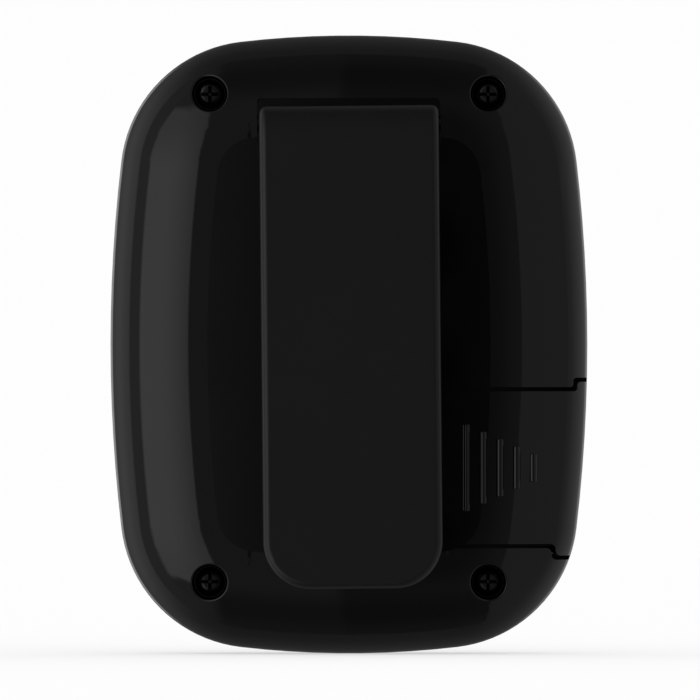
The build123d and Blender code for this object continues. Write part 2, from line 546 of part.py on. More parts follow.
def clip_spring():
    """Torsion spring round the pin: one leg on the recess floor, its tail in the clip's knuckle."""
    length = SPRING_TURNS * SPRING_PITCH
    coil = Helix(pitch=SPRING_PITCH, height=length, radius=SPRING_R)
    section = Plane(origin=coil @ 0, z_dir=coil % 0) * Circle(SPRING_WIRE_R)
    swept = sweep(section, path=coil, is_frenet=True)
    spring = Pos(length / 2, HINGE_Y, HINGE_Z) * Rot(0, -90, 0) * swept
    ends = spring.faces().filter_by(GeomType.PLANE).sort_by(Axis.X)
    spring += extrude(ends[-1], amount=HINGE_Y - RECESS_FLOOR_Y - SPRING_WIRE_R - 0.1)
    corner = ends[0].center()
    tail_end = -KNUCKLE_INNER_X - SPRING_TAIL + 0.1
    spring += Pos(corner) * Sphere(SPRING_WIRE_R)
    tail_x = (corner.X + tail_end) / 2
    return spring + along_x(tail_x, HINGE_Y, HINGE_Z + SPRING_R, SPRING_WIRE_R, corner.X - tail_end)


def case_screws():
    screws = Part()
    face_y = SCREW_SEAT_Y + SCREW_HEAD_H
    for x, z in screw_places():
        head = bar(x, z, SCREW_HEAD_R, SCREW_SEAT_Y, face_y)
        head = fillet(head.edges().group_by(Axis.Y)[-1], SCREW_HEAD_FILLET)
        head -= cross_recess(x, z, face_y, DRIVE_REACH, DRIVE_WIDTH, DRIVE_DEPTH)
        shank = bar(x, z, SCREW_SHANK_R, SCREW_SEAT_Y - SCREW_SHANK_L, SCREW_SEAT_Y)
        screws += head + chamfer(shank.edges().group_by(Axis.Y)[0], SCREW_POINT)
    return screws


# ---- Front shell and keys ----------------------------------------------------------------------


def key_outline(key, grow):
    x, z, width, height, corner = key[:5]
    return Pos(x, z) * RectangleRounded(width + 2 * grow, height + 2 * grow, corner + grow)


def front_shell():
    shell = front_pillow() - front_pillow(inset=WALL, floor=-1)
    shell -= prism(outline(REBATE_OUT) - outline(WALL + SKIN), -REBATE_REACH, 1)
    shell -= prism(outline(-1) - outline(SHADOW_GAP), -SHADOW_DEPTH, 1)
    inside = front_pillow(inset=SKIN)
    for x, z in screw_places():
        shell += bar(x, z, BOSS_R, PAST_FRONT, FRONT_BOSS_TOP_Y) & inside
        shell -= bar(x, z, SCREW_SHANK_R + SCREW_PILOT_CLEARANCE, SCREW_SEAT_Y - SCREW_SHANK_L - 0.4, 1)
    for x, z in post_places():
        shell += bar(x, z, POST_R, PAST_FRONT, BOARD_FRONT_Y) & inside
        shell -= bar(x, z, BOARD_SCREW_R + 0.03, BOARD_FRONT_Y - BOARD_SCREW_L - 0.4, 1)
    fit = LENS_FIT
    shell -= block(-LENS_HALF_X - fit, LENS_HALF_X + fit, LENS_LOW_Z - fit, LENS_TOP_Z + fit,
                   PAST_FRONT, FRONT_FACE + LENS_THICK + TAPE_THICK, LENS_CORNER_R + fit)
    shell -= block(-WINDOW_HALF_X, WINDOW_HALF_X, WINDOW_LOW_Z, WINDOW_TOP_Z,
                   PAST_FRONT, 0, WINDOW_CORNER_R)
    for key in KEYS.values():
        shell -= prism(key_outline(key, KEY_GAP), PAST_FRONT, FRONT_INNER + 1)
    return shell


def key_cap(key):
    """A hollow moulded cap with a flange behind the front wall and a stem onto its rubber dome."""
    x, z, width, height, corner, proud, stem_r, _ = key
    face_y = FRONT_FACE - proud
    front_y = FRONT_INNER + FLANGE_GAP
    back_y = front_y + FLANGE_THICK
    cap = prism(key_outline(key, 0), face_y, back_y)
    cap = fillet(cap.edges().group_by(Axis.Y)[0], KEY_EDGE_R)
    cap += prism(key_outline(key, FLANGE_WIDTH), front_y, back_y)
    cap -= prism(key_outline(key, -KEY_WALL), face_y + KEY_FACE_THICK, back_y + 1)
    return cap + bar(x, z, stem_r, face_y + KEY_FACE_THICK - 0.2, DOME_TOP_Y - 0.02)


def dome(key):
    """Rubber dome under a key, with its centre plunger."""
    x, z = key[:2]
    radius = key[-1]
    rise = PAD_SHEET_Y - DOME_TOP_Y

    def frustum(base, height):
        top = base - DOME_SLOPE * height
        cone = Cone(base, top, height, align=(Align.CENTER, Align.CENTER, Align.MIN))
        return Pos(x, PAD_SHEET_Y, z) * Rot(90, 0, 0) * cone

    shell = frustum(radius, rise) - frustum(radius - DOME_WALL, rise - DOME_WALL)
    return shell + bar(x, z, radius * PLUNGER_SHARE, DOME_TOP_Y + DOME_WALL / 2, PILL_FACE_Y - PILL_THICK)


def rubber_keypad():
    sheet = block(-23.4, 23.4, 18.2, 41.6, PAD_SHEET_Y, BOARD_FRONT_Y, 2)
    sheet += block(-14.2, 14.2, 7.6, 19.0, PAD_SHEET_Y, BOARD_FRONT_Y, 1.5)
    for key in KEYS.values():
        sheet -= bar(key[0], key[1], key[-1] - DOME_WALL, PAD_SHEET_Y - 0.1, 0)
        sheet += dome(key)
    return sheet


def carbon_pill(key):
    return bar(key[0], key[1], key[-1] * PILL_SHARE, PILL_FACE_Y - PILL_THICK, PILL_FACE_Y)


# ---- Display -----------------------------------------------------------------------------------


def display_lens():
    lens = block(-LENS_HALF_X, LENS_HALF_X, LENS_LOW_Z, LENS_TOP_Z,
                 FRONT_FACE, FRONT_FACE + LENS_THICK, LENS_CORNER_R)
    return chamfer(lens.edges().group_by(Axis.Y)[0], LENS_BEVEL)


def lens_adhesive():
    """A frame of black tape that holds the lens in its ledge."""
    y = FRONT_FACE + LENS_THICK
    inset = TAPE_INSET
    frame = block(-LENS_HALF_X + inset, LENS_HALF_X - inset, LENS_LOW_Z + inset, LENS_TOP_Z - inset,
                  y, y + TAPE_THICK, LENS_CORNER_R - inset)
    return frame - block(-WINDOW_HALF_X, WINDOW_HALF_X, WINDOW_LOW_Z, WINDOW_TOP_Z,
                         y - 1, y + 1, WINDOW_CORNER_R)


def display_stack():
    """Polarisers, glasses, contact strips and frame of the display, by node name."""
    y = DISPLAY_FRONT_Y
    front_glass_y = y + FILM_THICK
    rear_glass_y = front_glass_y + GLASS_THICK
    rear_film_y = rear_glass_y + GLASS_THICK
    x = GLASS_HALF_X
    low, top = GLASS_LOW_Z, GLASS_TOP_Z
    ledge_low, ledge_top = low + CONTACT_LEDGE, top - CONTACT_LEDGE
    outer = block(-x - 1.0, x + 1.0, low - 1.0, top + 0.9, y, BOARD_FRONT_Y, 2.0)
    inner = block(-x - 0.15, x + 0.15, low - 0.15, top + 0.15, y - 1, 1, 0.3)
    strips = block(-x + 1.5, x - 1.5, low + 0.2, ledge_low - 0.2, rear_glass_y, BOARD_FRONT_Y)
    strips += block(-x + 1.5, x - 1.5, ledge_top + 0.2, top - 0.2, rear_glass_y, BOARD_FRONT_Y)
    return {
        "lcd_front_polariser": block(-x + 0.4, x - 0.4, low + 1, top - 1, y, front_glass_y),
        "lcd_front_glass": block(-x, x, low, top, front_glass_y, rear_glass_y),
        "lcd_rear_glass": block(-x, x, ledge_low, ledge_top, rear_glass_y, rear_film_y),
        "lcd_rear_polariser": block(-x + 0.4, x - 0.4, ledge_low + 0.2, ledge_top - 0.2,
                                    rear_film_y, rear_film_y + FILM_THICK),
        "lcd_frame": outer - inner,
        "zebra_strips": strips,
    }


# ---- Board and what is on it -------------------------------------------------------------------


def main_board():
    board = block(-BOARD_HALF_X, BOARD_HALF_X, BOARD_LOW_Z, BOARD_TOP_Z, BOARD_FRONT_Y, BOARD_BACK_Y, 6)
    board += block(-BOARD_TAB_HALF_X, BOARD_TAB_HALF_X, BOARD_TAB_LOW_Z, BOARD_LOW_Z + 4,
                   BOARD_FRONT_Y, BOARD_BACK_Y, 2)
    for x, z in post_places():
        board -= bar(x, z, 1.0, -5, 5)
    return board


def contact_pads():
    pads = Part()
    for key in KEYS.values():
        pads += bar(key[0], key[1], key[-1] * PAD_SHARE, BOARD_FRONT_Y - 0.05, BOARD_FRONT_Y)
    return pads


def controller_blob():
    cap = Pos(8.0, -4.5, 50.0) * Sphere(6.2)
    return cap & block(-20, 20, 30, 68, BOARD_BACK_Y, 5)


def quartz_crystal():
    can = Pos(16.5, BOARD_BACK_Y + 1.05, 58.0) * Cylinder(1.0, 6.0)
    leads = Part()
    for x in (16.1, 16.9):
        leads += Pos(x, BOARD_BACK_Y + 0.9, 53.9) * Cylinder(0.15, 2.4)
    return fillet(can.edges(), 0.2) + leads


def chip_row(width, length, height, places):
    parts = Part()
    for x, z in places:
        parts += block(x - width / 2, x + width / 2, z - length / 2, z + length / 2,
                       BOARD_BACK_Y, BOARD_BACK_Y + height, 0.15)
    return parts


def board_capacitors():
    column = [(19.5, 44 + 3.2 * i) for i in range(4)]
    return chip_row(1.25, 2.0, 0.9, column + [(-8, 62), (-4, 62)])


def board_resistors():
    row = [(1.5 + 2.2 * i, 40.5) for i in range(6)]
    return chip_row(0.85, 1.6, 0.45, row + [(22.5, 50), (22.5, 53)])


def board_screws():
    screws = Part()
    face_y = BOARD_BACK_Y + BOARD_HEAD_H
    for x, z in post_places():
        head = bar(x, z, BOARD_HEAD_R, BOARD_BACK_Y, face_y)
        head = fillet(head.edges().group_by(Axis.Y)[-1], BOARD_HEAD_FILLET)
        head -= cross_recess(x, z, face_y, 0.8, 0.35, 0.5)
        screws += head + bar(x, z, BOARD_SCREW_R, BOARD_FRONT_Y - BOARD_SCREW_L, BOARD_BACK_Y)
    return screws


# ---- Buzzer ------------------------------------------------------------------------------------


def buzzer_disc():
    return bar(BUZZER_X, BUZZER_Z, BUZZER_R, BUZZER_Y - BRASS_THICK, BUZZER_Y)


def buzzer_ceramic():
    y = BUZZER_Y - BRASS_THICK
    return bar(BUZZER_X, BUZZER_Z, CERAMIC_R, y - CERAMIC_THICK, y)


def feed_spring(x, top_y):
    """A small spring from the board up to the buzzer."""
    low_y = BOARD_BACK_Y + FEED_WIRE_R + 0.02
    height = top_y - FEED_WIRE_R - 0.02 - low_y
    coil = Helix(pitch=height / FEED_TURNS, height=height, radius=FEED_COIL_R)
    section = Plane(origin=coil @ 0, z_dir=coil % 0) * Circle(FEED_WIRE_R)
    return Pos(x, low_y, BUZZER_Z) * Rot(-90, 0, 0) * sweep(section, path=coil, is_frenet=True)


def buzzer_springs():
    """One spring feeds the brass disc and the other the ceramic."""
    brass_y = BUZZER_Y - BRASS_THICK
    return feed_spring(BUZZER_X - 8.5, brass_y) + feed_spring(BUZZER_X - 3.0, brass_y - CERAMIC_THICK)


# ---- The whole object --------------------------------------------------------------------------


def parts():
    made = {
        "front_shell": front_shell(),
        "back_shell": back_shell(),
        "battery_door": battery_door(),
        "belt_clip": belt_clip(),
        "clip_pin": clip_pin(),
        "clip_spring": clip_spring(),
        "case_screws": case_screws(),
        "battery_can": battery_can(),
        "battery_cap": battery_cap(),
        "battery_seal": battery_seal(),
        "battery_contact_negative": negative_contact(),
        "battery_contact_positive": positive_contact(),
        "display_lens": display_lens(),
        "lens_adhesive": lens_adhesive(),
        "main_board": main_board(),
        "board_contact_pads": contact_pads(),
        "controller_blob": controller_blob(),
        "quartz_crystal": quartz_crystal(),
        "board_capacitors": board_capacitors(),
        "board_resistors": board_resistors(),
        "board_screws": board_screws(),
        "rubber_keypad": rubber_keypad(),
        "buzzer_disc": buzzer_disc(),
        "buzzer_ceramic": buzzer_ceramic(),
        "buzzer_springs": buzzer_springs(),
    }
    made.update(display_stack())
    for name, key in KEYS.items():
        made[name] = key_cap(key)
        made[name.replace("_key", "_pill")] = carbon_pill(key)
    return made


def export():
    os.makedirs("parts", exist_ok=True)
    for name, shape in parts().items():
        placed = Pos(0, -ORIGIN_Y, 0) * one(shape)
        export_step(placed, f"parts/{name}.step")


export()
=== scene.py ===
"""Looks of the pocket chess clock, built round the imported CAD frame.

The camera looks straight at the back of the case from +Y.  Lengths are in metres, and MM turns
millimetres into them.
"""

import json
import math

import bmesh
import bpy
from mathutils import Matrix, Vector


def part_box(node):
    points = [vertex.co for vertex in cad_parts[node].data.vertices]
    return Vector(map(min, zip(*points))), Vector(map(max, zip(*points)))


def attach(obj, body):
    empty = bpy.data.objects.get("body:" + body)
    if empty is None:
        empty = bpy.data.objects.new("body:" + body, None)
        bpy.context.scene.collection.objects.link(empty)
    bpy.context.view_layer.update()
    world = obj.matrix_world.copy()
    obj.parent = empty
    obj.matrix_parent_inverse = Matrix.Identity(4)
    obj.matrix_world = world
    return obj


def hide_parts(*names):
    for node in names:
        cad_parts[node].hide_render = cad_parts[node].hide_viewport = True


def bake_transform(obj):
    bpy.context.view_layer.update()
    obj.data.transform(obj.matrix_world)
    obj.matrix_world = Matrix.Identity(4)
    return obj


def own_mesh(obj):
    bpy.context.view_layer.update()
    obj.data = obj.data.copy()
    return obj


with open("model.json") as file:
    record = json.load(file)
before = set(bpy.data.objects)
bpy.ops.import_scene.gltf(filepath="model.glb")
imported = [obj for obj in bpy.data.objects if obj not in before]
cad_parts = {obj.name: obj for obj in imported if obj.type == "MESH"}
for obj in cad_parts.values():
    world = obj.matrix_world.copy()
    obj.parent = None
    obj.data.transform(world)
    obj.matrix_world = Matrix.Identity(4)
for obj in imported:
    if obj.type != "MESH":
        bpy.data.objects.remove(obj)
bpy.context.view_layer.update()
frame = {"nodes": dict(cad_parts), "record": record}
RECORD = frame["record"]
SLOTS = {part["node"]: part["material_slot"] for part in RECORD["subparts"]}
KEY_NAMES = [body for body in RECORD["behaviour"]["bodies"] if "key" in body]
MM = 0.001


# ---- Node trees --------------------------------------------------------------------------------


class Tree:
    """Adds nodes to a shader tree, with numbers, colours or other nodes' outputs as their inputs."""

    def __init__(self, tree):
        self.tree = tree
        tree.nodes.clear()

    def add(self, kind, settings=None, **inputs):
        """A node with its inputs set by name, or by number as i0, i1 and so on."""
        node = self.tree.nodes.new(kind)
        for name, value in (settings or {}).items():
            setattr(node, name, value)
        for name, value in inputs.items():
            key = int(name[1:]) if name[1:].isdigit() else name.replace("_", " ")
            if isinstance(value, bpy.types.NodeSocket):
                self.tree.links.new(value, node.inputs[key])
            else:
                node.inputs[key].default_value = value
        return node

    def math(self, operation, *values):
        inputs = {f"i{i}": value for i, value in enumerate(values)}
        return self.add("ShaderNodeMath", {"operation": operation}, **inputs).outputs[0]

    def product(self, result, *others):
        for other in others:
            result = self.math("MULTIPLY", result, other)
        return result

    def total(self, result, *others):
        for other in others:
            result = self.math("ADD", result, other)
        return result

    def ramp(self, value, low, high, to_low=0.0, to_high=1.0):
        """A smooth step in value: to_low up to low, and to_high from high on."""
        node = self.add("ShaderNodeMapRange", {"interpolation_type": "SMOOTHSTEP"},
                        i0=value, i1=low, i2=high, i3=to_low, i4=to_high)
        return node.outputs[0]

    def noise(self, coordinates, scale, detail=3.0, roughness=0.5):
        node = self.add("ShaderNodeTexNoise", Vector=coordinates, Scale=scale, Detail=detail,
                        Roughness=roughness)
        return node.outputs["Fac"]

    def mix_color(self, factor, one, two):
        node = self.add("ShaderNodeMix", {"data_type": "RGBA"}, i0=factor, i6=one, i7=two)
        return node.outputs[2]


def rgba(color):
    return (*color[:3], 1.0)


# ---- Materials ---------------------------------------------------------------------------------

PATCH_RANGE, MOTTLE_RANGE = (0.3, 0.7), (0.35, 0.65)  # of the noise, which fades over it
MOTTLE_SHARE = 0.3  # the size of colour patches, as a share of the roughness patches
SCRATCH_SIZE, SCRATCH_TURN, SCRATCH_STRETCH = 0.12 * MM, (0.3, 0.9, 0.5), (1, 1, 0.03)
SCRATCH_CRESTS = (0.66, 0.74)
STRIPE_SIZE = 0.1 * MM
WAVE_FACTOR = 20  # a wave texture's own factor on its scale
DUST_SIZE, DUST_CRESTS, DUST_ROUGHNESS = 0.6 * MM, (0.62, 0.72), (0.03, 0.07)
PANE_BASE, PANE_GLOSS, PANE_EDGE_GLOSS = (0.01, 0.01, 0.01), 0.04, 0.9
SCHLICK_POWER, PLAIN_BLEND = 5.0, 0.5


def surface(name, color, rough, *, metallic=0.0, patch=0.25, patch_size=9.0, grain=0.0, grain_size=0.25,
            scratches=0.0, mottle=0.0, stripe=None):
    """A finished opaque material.

    rough is the roughness and patch the share by which it wanders over patches of patch_size mm;
    grain is the height in mm of the moulded grain of grain_size mm; scratches is the height in mm of
    fine handling marks; mottle is how far the colour wanders; stripe is the colour of bands across X.
    """
    material = bpy.data.materials.new(name)
    material.use_nodes = True
    t = Tree(material.node_tree)
    where = t.add("ShaderNodeTexCoord").outputs["Object"]
    patches = t.noise(where, 1 / (patch_size * MM), detail=4.0, roughness=0.6)
    roughness = t.ramp(patches, *PATCH_RANGE, rough * (1 - patch), rough * (1 + patch))
    shader = t.add("ShaderNodeBsdfPrincipled", Metallic=metallic, Roughness=roughness,
                   Base_Color=rgba(color))
    if mottle:
        wander = t.noise(where, 1 / (MOTTLE_SHARE * patch_size * MM), detail=5.0, roughness=0.6)
        darker = rgba([channel * (1 - mottle) for channel in color])
        tint = t.mix_color(t.ramp(wander, *MOTTLE_RANGE), rgba(color), darker)
        t.tree.links.new(tint, shader.inputs["Base Color"])
    if stripe:
        bands = t.add("ShaderNodeTexWave", Vector=where, Scale=1 / STRIPE_SIZE / WAVE_FACTOR)
        tint = t.mix_color(bands.outputs["Fac"], rgba(color), rgba(stripe))
        t.tree.links.new(tint, shader.inputs["Base Color"])
    bumps = []
    if grain:
        bumps.append((grain, t.noise(where, 1 / (grain_size * MM), detail=2.0)))
    if scratches:
        # Fine marks: noise stretched along one direction, and only its crests
        stretched = t.add("ShaderNodeMapping", Vector=where, Rotation=SCRATCH_TURN, Scale=SCRATCH_STRETCH)
        marks = t.noise(stretched.outputs[0], 1 / SCRATCH_SIZE, detail=2.0)
        bumps.append((scratches, t.ramp(marks, *SCRATCH_CRESTS)))
    normal = {}
    for height, pattern in bumps:
        bump = t.add("ShaderNodeBump", Strength=1.0, Distance=height * MM, Height=pattern, **normal)
        normal = {"Normal": bump.outputs[0]}
    if normal:
        t.tree.links.new(normal["Normal"], shader.inputs["Normal"])
    t.add("ShaderNodeOutputMaterial", Surface=shader.outputs[0])
    return material


def clear(name, tint):
    """A clear pane: a mirror-like skin over what is behind it, which it tints."""
    material = bpy.data.materials.new(name)
    material.use_nodes = True
    t = Tree(material.node_tree)
    where = t.add("ShaderNodeTexCoord").outputs["Object"]
    through = t.add("ShaderNodeBsdfTransparent", Color=rgba(tint))
    dust = t.ramp(t.noise(where, 1 / DUST_SIZE), *DUST_CRESTS, *DUST_ROUGHNESS)
    shine = t.add("ShaderNodeBsdfPrincipled", Base_Color=rgba(PANE_BASE), Roughness=dust)
    # Schlick's curve, which treats both sides of the pane alike
    edge_on = t.add("ShaderNodeLayerWeight", Blend=PLAIN_BLEND).outputs["Facing"]
    share = t.total(t.product(t.math("POWER", edge_on, SCHLICK_POWER), PANE_EDGE_GLOSS), PANE_GLOSS)
    mixed = t.add("ShaderNodeMixShader", i0=share, i1=through.outputs[0], i2=shine.outputs[0])
    t.add("ShaderNodeOutputMaterial", Surface=mixed.outputs[0])
    return material


STEEL = (0.56, 0.56, 0.57)
# Colour, roughness and finish, by slot name; the last six are inks of the added pieces
OPAQUE = {
    "case_black": ((0.0002, 0.0002, 0.0002), 0.04, {"patch": 0.35, "patch_size": 14, "scratches": 0.00003}),
    "clip_black": ((0.0016, 0.0016, 0.0017), 0.32, {"patch": 0.04, "grain": 0.006, "grain_size": 0.16}),
    "black_steel": ((0.045, 0.045, 0.047), 0.24, {"patch_size": 1.0, "grain": 0.002, "metallic": 1.0}),
    "hinge_steel": (STEEL, 0.3, {"patch_size": 2.0, "scratches": 0.0006, "metallic": 1.0}),
    "cell_steel": ((0.6, 0.6, 0.59), 0.24, {"patch_size": 4.0, "scratches": 0.0004, "metallic": 1.0}),
    "seal_plastic": ((0.3, 0.32, 0.35), 0.5, {"grain": 0.004}),
    "contact_nickel": ((0.66, 0.62, 0.55), 0.22, {"scratches": 0.0005, "metallic": 1.0}),
    "adhesive_black": ((0.01, 0.01, 0.01), 0.6, {"grain": 0.004}),
    "frame_white": ((0.72, 0.72, 0.7), 0.5, {"grain": 0.004, "mottle": 0.04}),
    "board_green": ((0.012, 0.1, 0.035), 0.3, {"grain": 0.004, "grain_size": 0.6, "mottle": 0.35}),
    "carbon_print": ((0.02, 0.02, 0.02), 0.7, {"grain": 0.004}),
    "epoxy_black": ((0.008, 0.008, 0.008), 0.16, {"patch_size": 2.0, "grain": 0.01, "grain_size": 2.0}),
    "crystal_can": ((0.7, 0.7, 0.7), 0.26, {"scratches": 0.0005, "metallic": 1.0}),
    "ceramic_tan": ((0.42, 0.26, 0.14), 0.55, {"grain": 0.004, "mottle": 0.2}),
    "resistor_black": ((0.015, 0.015, 0.018), 0.35, {"grain": 0.002}),
    "keypad_grey": ((0.2, 0.21, 0.22), 0.6, {"grain": 0.006, "mottle": 0.05}),
    "carbon_rubber": ((0.012, 0.012, 0.012), 0.75, {"grain": 0.006}),
    "buzzer_brass": ((0.6, 0.42, 0.16), 0.3, {"scratches": 0.0008, "metallic": 1.0}),
    "piezo_white": ((0.7, 0.69, 0.66), 0.4, {"grain": 0.003, "mottle": 0.06}),
    "key_ivory": ((0.72, 0.65, 0.5), 0.3, {"grain": 0.004, "grain_size": 0.22, "mottle": 0.01}),
    "key_black": ((0.008, 0.008, 0.009), 0.3, {"grain": 0.004, "grain_size": 0.22}),
    "key_grey": ((0.16, 0.165, 0.17), 0.42, {"grain": 0.006, "grain_size": 0.2}),
    "zebra_rubber": ((0.02, 0.02, 0.02), 0.6, {"grain": 0.01, "stripe": (0.45, 0.45, 0.46)}),
    "lcd_ink": ((0.012, 0.014, 0.016), 0.5, {"grain": 0.002, "mottle": 0.1}),
    "lcd_ghost": ((0.41, 0.45, 0.385), 0.5, {"grain": 0.002, "mottle": 0.05}),
    "lcd_reflector": ((0.47, 0.52, 0.44), 0.45, {"grain": 0.003, "grain_size": 0.1, "mottle": 0.03}),
    "lens_print": ((0.004, 0.004, 0.0045), 0.5, {"grain": 0.002, "mottle": 0.1}),
    "print_light": ((0.62, 0.62, 0.6), 0.5, {"grain": 0.003, "mottle": 0.05}),
    "print_dark": ((0.02, 0.02, 0.02), 0.5, {"grain": 0.003, "mottle": 0.1}),
}
CLEAR = {"lens_clear": (0.96, 0.97, 0.97), "lcd_glass": (0.98, 0.99, 0.98), "polariser": (0.84, 0.86, 0.82)}


def materials():
    """Every material of the object, by name."""
    made = {name: surface(name, color, rough, **finish) for name, (color, rough, finish) in OPAQUE.items()}
    made.update({name: clear(name, tint) for name, tint in CLEAR.items()})
    return made


def dress_nodes(made):
    """Gives every CAD node its slot's material."""
    for name, slot in SLOTS.items():
        node = frame["nodes"][name]
        node.data.materials.clear()
        node.data.materials.append(made[slot])
        for polygon in node.data.polygons:
            polygon.use_smooth = True


# ---- Pieces and their meshes -------------------------------------------------------------------


def linked(name, data):
    """A new object of the scene."""
    made = bpy.data.objects.new(name, data)
    bpy.context.scene.collection.objects.link(made)
    return made


def piece(name, mesh, material, body):
    """Links a finished mesh as a piece that rides on a CAD body."""
    made = linked(name, mesh)
    mesh.materials.append(material)
    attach(made, body)
    return made


def finished_mesh(name, bm):
    """The mesh of a closed bmesh, which this frees."""
    bmesh.ops.recalc_face_normals(bm, faces=bm.faces)
    mesh = bpy.data.meshes.new(name)
    bm.to_mesh(mesh)
    bm.free()
    return mesh


def prism_mesh(name, polygons, y_front, y_back):
    """Flat X-Z polygons, each pulled into a thin prism between two depths."""
    bm = bmesh.new()
    for points in polygons:
        front = [bm.verts.new((x, y_front, z)) for x, z in points]
        back = [bm.verts.new((x, y_back, z)) for x, z in points]
        bm.faces.new(front)
        bm.faces.new(reversed(back))
        for i in range(len(points)):
            j = (i + 1) % len(points)
            bm.faces.new((front[j], front[i], back[i], back[j]))
    return finished_mesh(name, bm)


def plate_with_holes(name, loops, y_front, y_back):
    """A flat plate between two depths: the first loop of X-Z points is its edge, the rest its holes."""
    bm = bmesh.new()
    for points in loops:
        corners = [bm.verts.new((x, y_front, z)) for x, z in points]
        for one, two in zip(corners, corners[1:] + corners[:1]):
            bm.edges.new((one, two))
    bmesh.ops.triangle_fill(bm, use_beauty=True, edges=bm.edges[:])
    pulled = bmesh.ops.extrude_face_region(bm, geom=bm.faces[:])["geom"]
    corners = [item for item in pulled if isinstance(item, bmesh.types.BMVert)]
    bmesh.ops.translate(bm, verts=corners, vec=(0, y_back - y_front, 0))
    return finished_mesh(name, bm)


LATHE_SIDES = 48
SHARP_ANGLE = math.radians(30)


def lathe(name, profile, x, z):
    """A closed solid: points of radius and y, from the axis back to it, turned about x, z."""
    bm = bmesh.new()
    rings = []
    for radius, y in profile:
        places = disc(x, z, radius, LATHE_SIDES if radius else 1)
        rings.append([bm.verts.new((px, y, pz)) for px, pz in places])
    for one, two in zip(rings, rings[1:]):
        for i in range(LATHE_SIDES):
            j = (i + 1) % LATHE_SIDES
            corners = [one[i % len(one)], one[j % len(one)], two[j % len(two)], two[i % len(two)]]
            bm.faces.new(list(dict.fromkeys(corners))).smooth = True
    mesh = finished_mesh(name, bm)
    mesh.set_sharp_from_angle(angle=SHARP_ANGLE)
    return mesh


# ---- Flat outlines, as lists of X-Z points -----------------------------------------------------


def disc(x, z, radius, count=24):
    turns = [2 * math.pi * i / count for i in range(count)]
    return [(x + radius * math.cos(turn), z + radius * math.sin(turn)) for turn in turns]


def rectangle(low_x, high_x, low_z, high_z):
    return [(low_x, low_z), (high_x, low_z), (high_x, high_z), (low_x, high_z)]


def rounded(low_x, high_x, low_z, high_z, radius, steps=6):
    """The corners of a rectangle with rounded corners, anticlockwise from the lower right."""
    points = []
    centres = ((high_x - radius, low_z + radius, -90), (high_x - radius, high_z - radius, 0),
               (low_x + radius, high_z - radius, 90), (low_x + radius, low_z + radius, 180))
    for x, z, start in centres:
        angles = [math.radians(start + 90 * i / steps) for i in range(steps + 1)]
        points += [(x + radius * math.cos(a), z + radius * math.sin(a)) for a in angles]
    return points


def placed(points, x, z, size=MM):
    """Points given about 0, 0 in units of size, moved to x, z."""
    return [(x + px * size, z + pz * size) for px, pz in points]


SEGMENTS_OF = {"0": "abcdef", "5": "afgcd"}
DIGIT_W, DIGIT_H, STROKE = 4.6 * MM, 8.6 * MM, 0.95 * MM
SLANT, SEGMENT_GAP = 0.09, 0.12 * MM


def segment_shapes(x, z):
    """The seven bars of a digit whose lower left corner is at x, z, by letter."""
    width, height, half, gap = DIGIT_W, DIGIT_H, STROKE / 2, SEGMENT_GAP

    def lean(points):
        return [(x + px + SLANT * pz, z + pz) for px, pz in points]

    def level(pz):
        low, high = gap + half, width - gap - half
        return lean([(low, pz), (low + half, pz + half), (high - half, pz + half), (high, pz),
                     (high - half, pz - half), (low + half, pz - half)])

    def upright(px, low, high):
        low, high = low + gap, high - gap
        return lean([(px, low), (px + half, low + half), (px + half, high - half), (px, high),
                     (px - half, high - half), (px - half, low + half)])

    return {
        "a": level(height - half),
        "b": upright(width - half, height / 2, height - half),
        "c": upright(width - half, half, height / 2),
        "d": level(half),
        "e": upright(half, half, height / 2),
        "f": upright(half, height / 2, height - half),
        "g": level(height / 2),
    }


def pawn(x, z, size):
    """The outline of a chess pawn of the given height, about x, z."""
    body = [(0.36, -0.5), (0.36, -0.4), (0.25, -0.32), (0.13, -0.06), (0.11, 0.06), (0.22, 0.1),
            (0.22, 0.16)]
    head_z, head_r = 0.3, 0.2
    turns = [math.radians(angle) for angle in range(50, 181, 13)]
    side = body + [(head_r * math.sin(turn), head_z - head_r * math.cos(turn)) for turn in turns]
    # The last point is on the axis, so it isn't mirrored
    return placed(side + [(-px, pz) for px, pz in reversed(side[:-1])], x, z, size)


# ---- Display -----------------------------------------------------------------------------------

# Depths in front of the front polariser, or of the lens's back face
SIGN_BACK, LIT_THICK, FAINT_THICK = 0.006 * MM, 0.015 * MM, 0.008 * MM
GROUND_FRONT, GROUND_BACK = 0.004 * MM, 0.001 * MM
BORDER_FRONT, BORDER_BACK = 0.03 * MM, 0.006 * MM
# The border: its outer corners, its width at the sides and at top and bottom, its inner corners
BORDER_OUTER_R, BORDER_SIDE, BORDER_END, BORDER_INNER_R = 2.2 * MM, 2.35 * MM, 3.55 * MM, 0.9 * MM
TIME = "5:00"
TIME_X, TIME_SHIFT, TIME_DROP = 10.2 * MM, 0.3 * MM, 1.2 * MM
DIGIT_PITCH, COLON_W = DIGIT_W + 1.1 * MM, 1.3 * MM
COLON_R, COLON_BACK, COLON_HEIGHTS = 0.5 * MM, 0.1 * MM, (0.3 * DIGIT_H, 0.7 * DIGIT_H)
FLAG_HALF_X, FLAG_HEIGHT, FLAG_RISE = 1.3 * MM, 1.4 * MM, 1.5 * MM
LINE_HALF_X, LINE_HALF_Z = 0.12 * MM, 5.6 * MM


